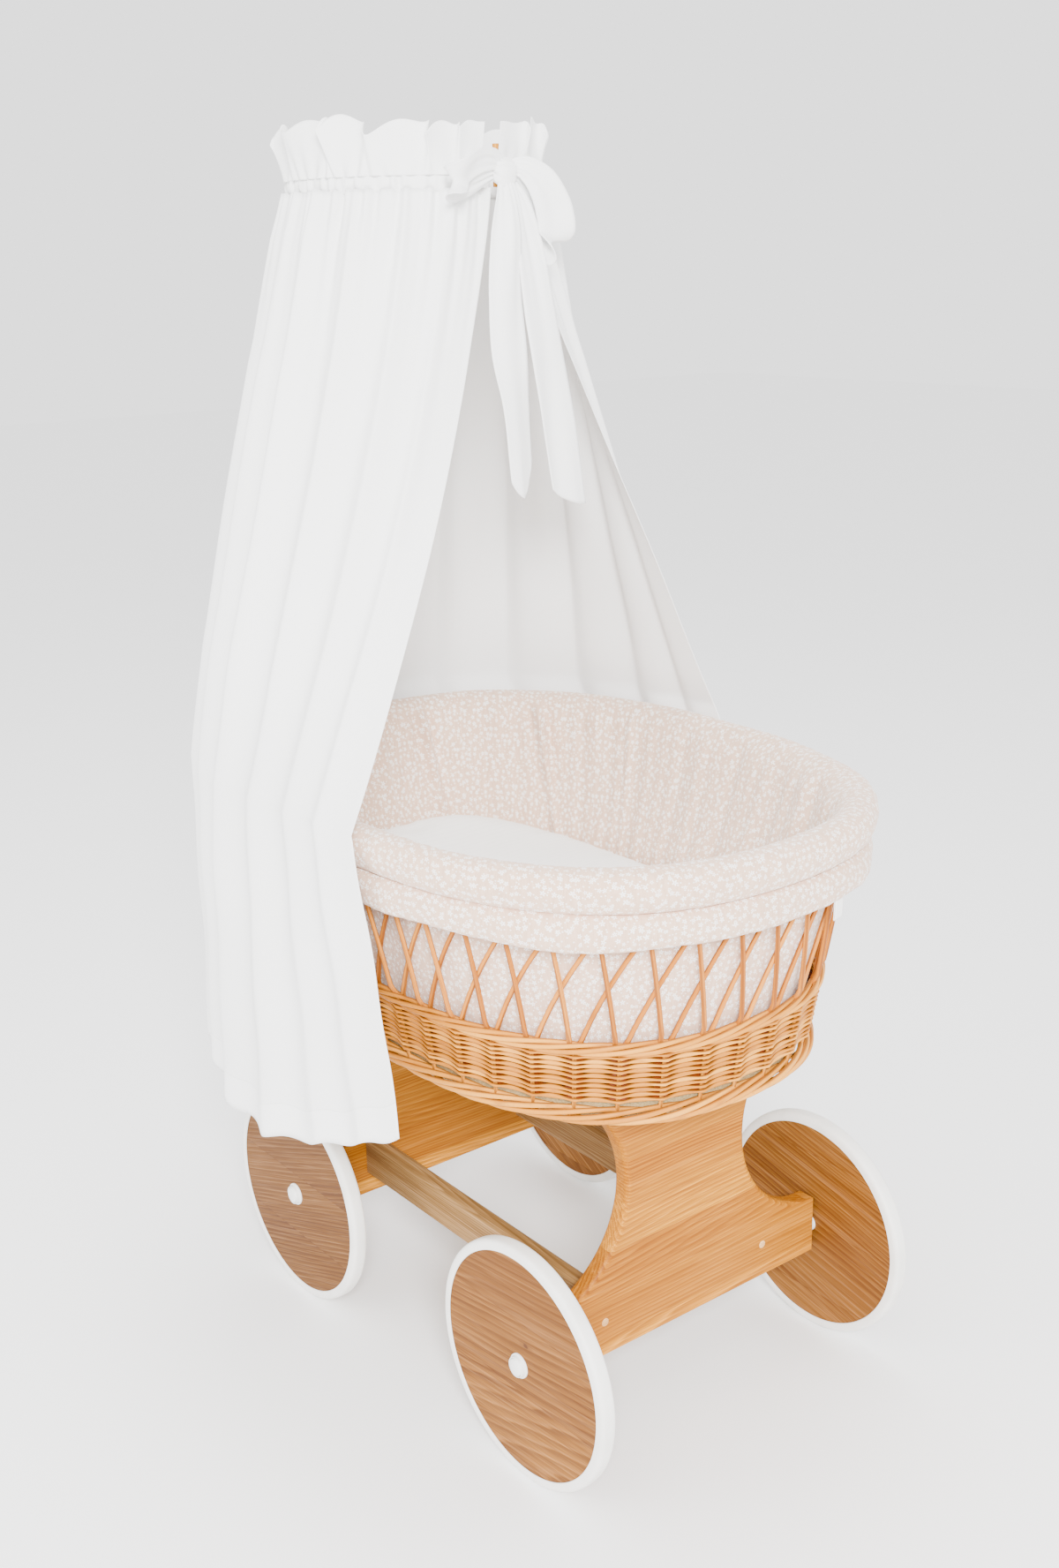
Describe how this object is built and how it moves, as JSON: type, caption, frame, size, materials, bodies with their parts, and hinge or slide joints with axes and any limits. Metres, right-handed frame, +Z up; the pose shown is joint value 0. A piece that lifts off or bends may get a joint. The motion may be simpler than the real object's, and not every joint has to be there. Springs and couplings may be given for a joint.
{
  "type": "baby cradle",
  "caption": "Wicker cradle on a wooden rolling frame, with a padded cloth nest, a mattress and a gathered voile canopy on a pole.",
  "frame": {"origin": "on the floor, under the middle of the whole cradle's box", "axes": "+X towards the foot end, +Y towards the right-hand wheels seen from the head end, +Z up"},
  "size_m": [0.9074, 0.73, 1.528],
  "materials": {
    "wood": "clear satin varnish",
    "rail_wood": "clear satin varnish",
    "disc_wood": "clear satin varnish",
    "steel": "zinc plated",
    "white_plastic": "smooth",
    "grey_plastic": "smooth",
    "tyre": "matt white",
    "base_wood": "raw plywood",
    "wicker": "varnished willow",
    "muslin": "crinkled cotton with a small white print",
    "label_cloth": "plain woven tape",
    "mattress_cloth": "quilted cotton",
    "sheet_cloth": "smooth cotton",
    "voile": "thin white voile",
    "ribbon": "thin white voile"
  },
  "bodies": {
    "cradle": {"front_board": "wood", "rear_board": "wood", "screw_plugs": "wood", "rail_dowels": "wood", "pole_bracket": "wood", "left_rail": "rail_wood", "right_rail": "rail_wood", "rail_screws": "steel", "basket_screws": "steel", "axle_bolts": "steel", "bracket_plate": "steel", "bracket_bolts": "steel", "axle_spacers": "white_plastic", "basket_base": "base_wood", "bottom_border": "wicker", "woven_wall": "wicker", "top_waling": "wicker", "lattice": "wicker", "basket_rim": "wicker", "nest_floor": "muslin", "nest_lining": "muslin", "nest_band": "muslin", "nest_label": "label_cloth", "mattress": "mattress_cloth", "fitted_sheet": "sheet_cloth"},
    "wheel_front_left": {"disc_front_left": "disc_wood", "tyre_front_left": "tyre", "bush_front_left": "grey_plastic", "cap_front_left": "white_plastic"},
    "wheel_front_right": {"disc_front_right": "disc_wood", "tyre_front_right": "tyre", "bush_front_right": "grey_plastic", "cap_front_right": "white_plastic"},
    "wheel_rear_left": {"disc_rear_left": "disc_wood", "tyre_rear_left": "tyre", "bush_rear_left": "grey_plastic", "cap_rear_left": "white_plastic"},
    "wheel_rear_right": {"disc_rear_right": "disc_wood", "tyre_rear_right": "tyre", "bush_rear_right": "grey_plastic", "cap_rear_right": "white_plastic"},
    "canopy": {"canopy_pole": "rail_wood", "hoop_connector": "rail_wood", "canopy_hoop": "rail_wood", "hoop_casing": "voile", "canopy_curtain": "voile", "canopy_ruffle": "voile", "bow_knot": "ribbon", "bow_loops": "ribbon", "bow_tails": "ribbon"}
  },
  "joints": [
    {"name": "spin_front_left", "type": "hinge", "parent": "cradle", "child": "wheel_front_left", "pos_m": [0.28626, -0.2425, 0.15], "axis": [0, 1, 0], "continuous": true},
    {"name": "spin_front_right", "type": "hinge", "parent": "cradle", "child": "wheel_front_right", "pos_m": [0.28626, 0.2425, 0.15], "axis": [0, 1, 0], "continuous": true},
    {"name": "spin_rear_left", "type": "hinge", "parent": "cradle", "child": "wheel_rear_left", "pos_m": [-0.21374, -0.2425, 0.15], "axis": [0, 1, 0], "continuous": true},
    {"name": "spin_rear_right", "type": "hinge", "parent": "cradle", "child": "wheel_rear_right", "pos_m": [-0.21374, 0.2425, 0.15], "axis": [0, 1, 0], "continuous": true},
    {"name": "canopy_lift", "type": "slide", "parent": "cradle", "child": "canopy", "axis": [0.0584, 0, 0.9983], "range_m": [0, 0.08]}
  ]
}
